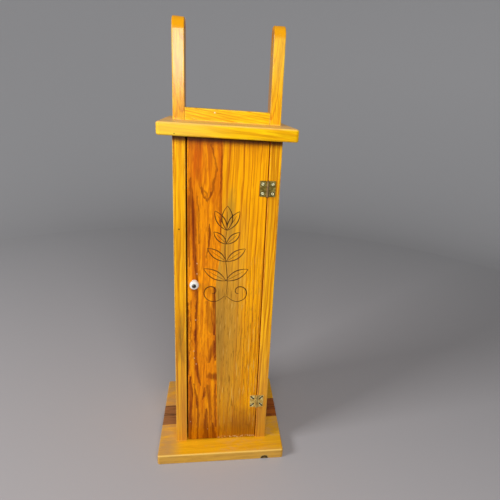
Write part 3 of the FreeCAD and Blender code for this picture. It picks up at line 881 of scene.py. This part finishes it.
# A sprig is burned into the door's face with a hot point: a stem with pairs of leaves, a tulip at its
# top and two curls at its foot. The lines are dark brown and up to two millimetres wide.
sprig_middle = Vector((1, door_face, 386)) * mm
line_depth_share = 0.25
line_end_share = 0.45
midrib_share = 0.78
leaf_roundness = 0.85
stem_foot = -80
stem_length = 122
stem_sway = 2.5
tulip_foot = 41


def burned_line(points, breadth=0.9):
    """One line through points in millimetres right of and above the sprig's middle, thin at its ends."""
    bpy.ops.object.select_all(action="DESELECT")
    bpy.ops.curve.primitive_nurbs_path_add()
    line = bpy.context.object
    bpy.ops.object.mode_set(mode="EDIT")
    bpy.ops.curve.select_all(action="SELECT")
    bpy.ops.curve.subdivide(number_cuts=2)
    bpy.ops.object.mode_set(mode="OBJECT")
    spline = line.data.splines[0]
    last = len(spline.points) - 1
    for i, knot in enumerate(spline.points):
        x, z = points(i / last)
        knot.co = (*(sprig_middle + Vector((x, 0, z)) * mm), 1.0)
        knot.radius = line_end_share + (1 - line_end_share) * math.sin(math.pi * i / last)
    spline.order_u = 3
    spline.use_endpoint_u = True
    line.data.bevel_depth = breadth * mm
    line.data.bevel_resolution = 1
    line.data.resolution_u = 4
    line.data.use_fill_caps = True
    bpy.ops.object.convert(target="MESH")
    return bpy.context.object


def leaf_lines(foot, angle, length, breadth):
    """The two edges and the midrib of a leaf."""
    along = Vector((math.cos(math.radians(angle)), math.sin(math.radians(angle))))
    across = Vector((-along.y, along.x))

    def edge(side):
        def points(t):
            bulge = across * side * breadth * math.sin(math.pi * t) ** leaf_roundness
            return Vector(foot) + along * length * t + bulge

        return points

    return [burned_line(edge(side)) for side in (-0.5, 0.5)] + [
        burned_line(lambda t: Vector(foot) + along * length * midrib_share * t, breadth=0.4)
    ]


def curl_line(side):
    """A tendril that leaves the foot of the stem and winds in on itself."""
    middle_across, middle_height = 22, -66
    eye_radius, unwound = 3, 19
    start, sweep = 200, 430

    def points(t):
        turn = math.radians(start + sweep * t)
        radius = eye_radius + unwound * (1 - t) ** 1.2
        across = side * (middle_across + radius * math.cos(turn))
        return Vector((across, middle_height + radius * math.sin(turn)))

    return burned_line(points)


def stem_points(t):
    return Vector((stem_sway * math.sin(2 * math.pi * t), stem_foot + stem_length * t))


def make_scorch():
    material, tree, shader, place = new_material("scorched_line")
    burn = noise(tree, place, (160, 160, 160), 3.0)[0]
    fill(tree, shader, {
        "Base Color": mix(tree, smooth_step(tree, burn, 0.35, 0.7), tone(46, 22, 4), tone(88, 46, 8)),
        "Roughness": smooth_step(tree, burn, 0.2, 0.8, 0.6, 0.4),
        "Specular IOR Level": 0.2,
    })
    return material


sprig_lines = [burned_line(stem_points, breadth=0.7)]
for height, angle, length, breadth in ((-46, 30, 42, 14), (-12, 36, 38, 13), (18, 44, 29, 11)):
    for tilt in (angle, 180 - angle):
        sprig_lines += leaf_lines((0, height), tilt, length, breadth)
for angle, length, breadth in ((90, 40, 17), (58, 37, 13), (122, 37, 13)):
    sprig_lines += leaf_lines((0, tulip_foot), angle, length, breadth)
sprig_lines += [curl_line(side) for side in (-1, 1)]

sprig = joined(sprig_lines, "burned_sprig")
bpy.ops.object.mode_set(mode="EDIT")
bpy.ops.mesh.select_all(action="SELECT")
bpy.ops.transform.resize(value=(1, line_depth_share, 1), center_override=sprig_middle)
bpy.ops.object.mode_set(mode="OBJECT")
bpy.ops.object.shade_smooth()
sprig.data.materials.append(make_scorch())
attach(sprig, "door")


# The knob is glazed white china, held by a slotted machine screw that passes through the door to a washer and
# a hexagon nut. The glaze is finely crazed and darker in the hollow round the screw.
def make_china():
    material, tree, shader, place = new_material("white_china")
    cracks = {"Vector": vectors(tree, "MULTIPLY", place, (420, 420, 420)), "Scale": 1.0}
    gap = add_node(tree, "TexVoronoi", cracks, feature="DISTANCE_TO_EDGE").outputs["Distance"]
    craze = smooth_step(tree, gap, 0.0, 0.05, 0.35, 0.0)
    cloud = noise(tree, place, (120, 120, 120))[0]
    body = mix(tree, smooth_step(tree, cloud, 0.3, 0.7), tone(250, 250, 246), tone(238, 238, 230))
    fill(tree, shader, {
        "Base Color": mix(tree, craze, body, tone(168, 156, 136)),
        "Roughness": smooth_step(tree, cloud, 0.3, 0.7, 0.10, 0.2),
        "Coat Weight": 0.5,
        "Coat Roughness": 0.05,
    })
    return material


white_china = make_china()
dress("knob", white_china)
knob_low, knob_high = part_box("knob")
knob_middle = (knob_low + knob_high) / 2 / mm
screw_hollow_place = (knob_middle.x, knob_low.y / mm, knob_middle.z)
lay_over(tone(120, 104, 84), spot_mask(white_china, screw_hollow_place, (4.4, 3, 4.4), 0.4, 0.75, 0.7))
dress("knob_washer", dark_steel)
dress("knob_nut", dark_steel)


def pan_head(dome, head_radius, head_height, neck_radius):
    """The rings of a raised head down to its neck. The dome is in shares of its radius and height."""
    return [(across * head_radius, rise * head_height) for across, rise in dome] + [(neck_radius, -0.02)]


knob_screw_dome = ((0.35, 1), (0.7, 0.85), (0.92, 0.5), (1, 0))
knob_head_radius = 3.2
knob_head_height = 2.0
knob_screw_radius = 2.0
knob_slot_depth = 1.28
knob_thread_pitch = 0.7
knob_thread_root = knob_screw_radius * 0.84
knob_screw_low, knob_screw_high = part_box("knob_screw")
knob_screw_length = (knob_screw_high.y - knob_screw_low.y) / mm - knob_head_height
knob_screw_profile = pan_head(knob_screw_dome, knob_head_radius, knob_head_height, knob_screw_radius)
for turn in range(int(knob_screw_length / knob_thread_pitch)):
    crest = -0.1 - turn * knob_thread_pitch
    knob_screw_profile += [(knob_screw_radius, crest), (knob_thread_root, crest - knob_thread_pitch / 2)]
knob_screw_profile.append((knob_screw_radius * 0.8, -knob_screw_length))
knob_screw_seat = (knob_middle.x, knob_screw_low.y / mm + knob_head_height, knob_middle.z)
set_in(
    slotted_screw(knob_screw_profile, knob_head_height, knob_head_radius, knob_slot_depth),
    "slotted_knob_screw",
    [(knob_screw_seat, (0, -1, 0), 35)],
    dark_steel, "door", "knob_screw",
)


# Two small brass butt hinges lie flat on the front. Each is a pair of stamped leaves rolled into five
# knuckles round a pin. Both are tarnished brass; the upper one is painted darker, a painted shade, and the
# lower one paler and less metallic, a painted reflection of the pale floor.
leaf_brass = {}

# Each hinge's brass: polished, tarnished, how far it has tarnished and how metallic it looks. Then the
# colours of its rim and of its barrel. The upper hinge's dark rim is painted shade and the lower one's pale
# rim is wear; the lower hinge's dark barrel is painted shade.
hinge_brass_looks = {
    "upper_hinge": (
        (tone(240, 222, 130), tone(122, 104, 42), 0.62, 0.8), tone(84, 66, 20), tone(176, 136, 104),
    ),
    "lower_hinge": (
        (tone(252, 226, 134), tone(188, 146, 60), 0.5, 0.4), tone(226, 182, 92), tone(128, 98, 40),
    ),
}
for hinge, (finish, rim_wear_and_shade, barrel_tint_and_shade) in hinge_brass_looks.items():
    for piece in ("_frame_leaf", "_door_leaf", "_pin"):
        brass = aged_metal(hinge + piece + "_brass", *finish)
        lay_over(rim_wear_and_shade, edge_mask(brass, hinge + piece, reach=0.9, strength=0.8))
        lay_over(barrel_tint_and_shade, band_mask(brass, "Y", carcass_front - 1.8, carcass_front - 3.6, 0.45))
        dress(hinge + piece, brass)
        leaf_brass[hinge + piece] = brass


# Each hinge leaf is held by two slotted flat-head brass screws, flush with the leaf. Those of the lower hinge
# are turned with their slots slanting in to the middle, and a dark stroke of painted shade runs along each
# slot, past its head onto the leaf.
slot_shade_reach = 3.6
slot_shade_half_width = 1.7
leaf_thickness = 1.2
bright_brass = aged_metal("screw_brass", tone(255, 250, 196), tone(206, 180, 104), 0.35, 0.3)
leaf_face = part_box("upper_hinge_frame_leaf")[1].y / mm - leaf_thickness
# Painted shade: the screws are painted dark below the leaf's face, inside their slots.
lay_over(tone(38, 26, 12), band_mask(bright_brass, "Y", leaf_face + 0.08, leaf_face + 0.25))
leaf_screw_spread = 7.5
frame_slot_turns = {"upper_hinge": (70, 120), "lower_hinge": (-45, 45)}
door_slot_turns = {"upper_hinge": (30, 160), "lower_hinge": (45, -45)}


def leaf_screw_seats(node, leaf, slot_turns):
    """The seats in both hinges' leaves of one side: the lower screw, then the upper, of each."""
    low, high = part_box(node)
    seats = []
    for hinge, turns in slot_turns.items():
        leaf_low, leaf_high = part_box(hinge + leaf)
        middle = (leaf_low.z + leaf_high.z) / 2 / mm
        for offset, turn in zip((-leaf_screw_spread, leaf_screw_spread), turns):
            seats.append((((low.x + high.x) / 2 / mm, low.y / mm, middle + offset), (0, -1, 0), turn))
    return seats


leaf_screws = (
    ("hinge_frame_screws", "_frame_leaf", frame_slot_turns, "carcass"),
    ("hinge_door_screws", "_door_leaf", door_slot_turns, "door"),
)
for node, leaf, slot_turns, body in leaf_screws:
    seats = leaf_screw_seats(node, leaf, slot_turns)
    screw = flat_head_screw(radius=1.2, head_radius=2.4, length=12)
    set_in(screw, "slotted_" + node, seats, bright_brass, body, node)
    upper_leaf = leaf_brass["upper_hinge" + leaf]
    # Painted shade: a dark ring on the upper hinge's leaf round each screw head.
    for place, _, _ in seats[:2]:
        lay_over(tone(44, 34, 12), spot_mask(upper_leaf, place, (3.7, 3, 3.7), 0.3, 0.7, 0.85))
    # Painted shade: a dark stroke along each lower hinge screw's slot, on the screw and on the leaf.
    for (x, _, z), _, turn in seats[2:]:
        run = Vector((math.cos(math.radians(turn)), math.sin(math.radians(turn)))) * slot_shade_reach
        ends = [(x + side * run.x, z + side * run.y, slot_shade_half_width) for side in (-1, 1)]
        for metal in (bright_brass, leaf_brass["lower_hinge" + leaf]):
            lay_over(tone(26, 17, 2), streak_mask(metal, place_on(metal), *ends))


# A magnetic catch inside, on the left side board, holds the door by a steel strike plate. A moulded
# brown housing, screwed on by its ears, holds a ferrite magnet between two steel pole plates.
def moulded(name, color, worn_color):
    material, tree, shader, place = new_material(name)
    pebble = noise(tree, place, (1400, 1400, 1400))[0]
    rub = noise(tree, place, (90, 90, 90), 3.0)[0]
    fill(tree, shader, {
        "Base Color": mix(tree, smooth_step(tree, rub, 0.45, 0.75), color, worn_color),
        "Roughness": smooth_step(tree, rub, 0.3, 0.7, 0.5, 0.36),
        "Normal": raised(tree, pebble, strength=0.2, distance=0.1),
    })
    return material


dress("catch_housing", moulded("catch_plastic", tone(92, 62, 38), tone(120, 86, 56)))
dress("catch_magnet", moulded("magnet_ferrite", tone(52, 50, 50), tone(78, 74, 72)))
bright_steel = aged_metal("bright_steel", tone(206, 206, 204), tone(128, 122, 114), 0.5)
dress("catch_pole_plates", bright_steel)
dress("strike_plate", bright_steel)

catch_screw_dome = ((0.5, 1), (0.85, 0.75), (1, 0.3), (1, 0))
catch_head_radius = 2.6
catch_head_height = 1.4
catch_slot_depth = 0.84
catch_screw_length = 11
catch_screw_radius = 1.4
catch_screw_profile = pan_head(catch_screw_dome, catch_head_radius, catch_head_height, catch_screw_radius)
catch_screw_profile += threaded(catch_screw_radius, -0.2, -catch_screw_length)
catch_low, catch_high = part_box("catch_screws")
catch_seat_x = catch_high.x / mm - catch_head_height
catch_seat_y = (catch_low.y + catch_high.y) / 2 / mm
catch_seat_heights = (catch_low.z / mm + catch_head_radius, catch_high.z / mm - catch_head_radius)
set_in(
    slotted_screw(catch_screw_profile, catch_head_height, catch_head_radius, catch_slot_depth),
    "slotted_catch_screws",
    [((catch_seat_x, catch_seat_y, z), (1, 0, 0), turn) for z, turn in zip(catch_seat_heights, (25, 110))],
    bright_steel, "carcass", "catch_screws",
)

strike_low, strike_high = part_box("strike_screw")
strike_middle = (strike_low + strike_high) / 2 / mm
set_in(
    flat_head_screw(radius=1.2, head_radius=2.2, length=11),
    "slotted_strike_screw",
    [((strike_middle.x, strike_high.y / mm, strike_middle.z), (0, 1, 0), 60)],
    bright_steel, "door", "strike_screw",
)
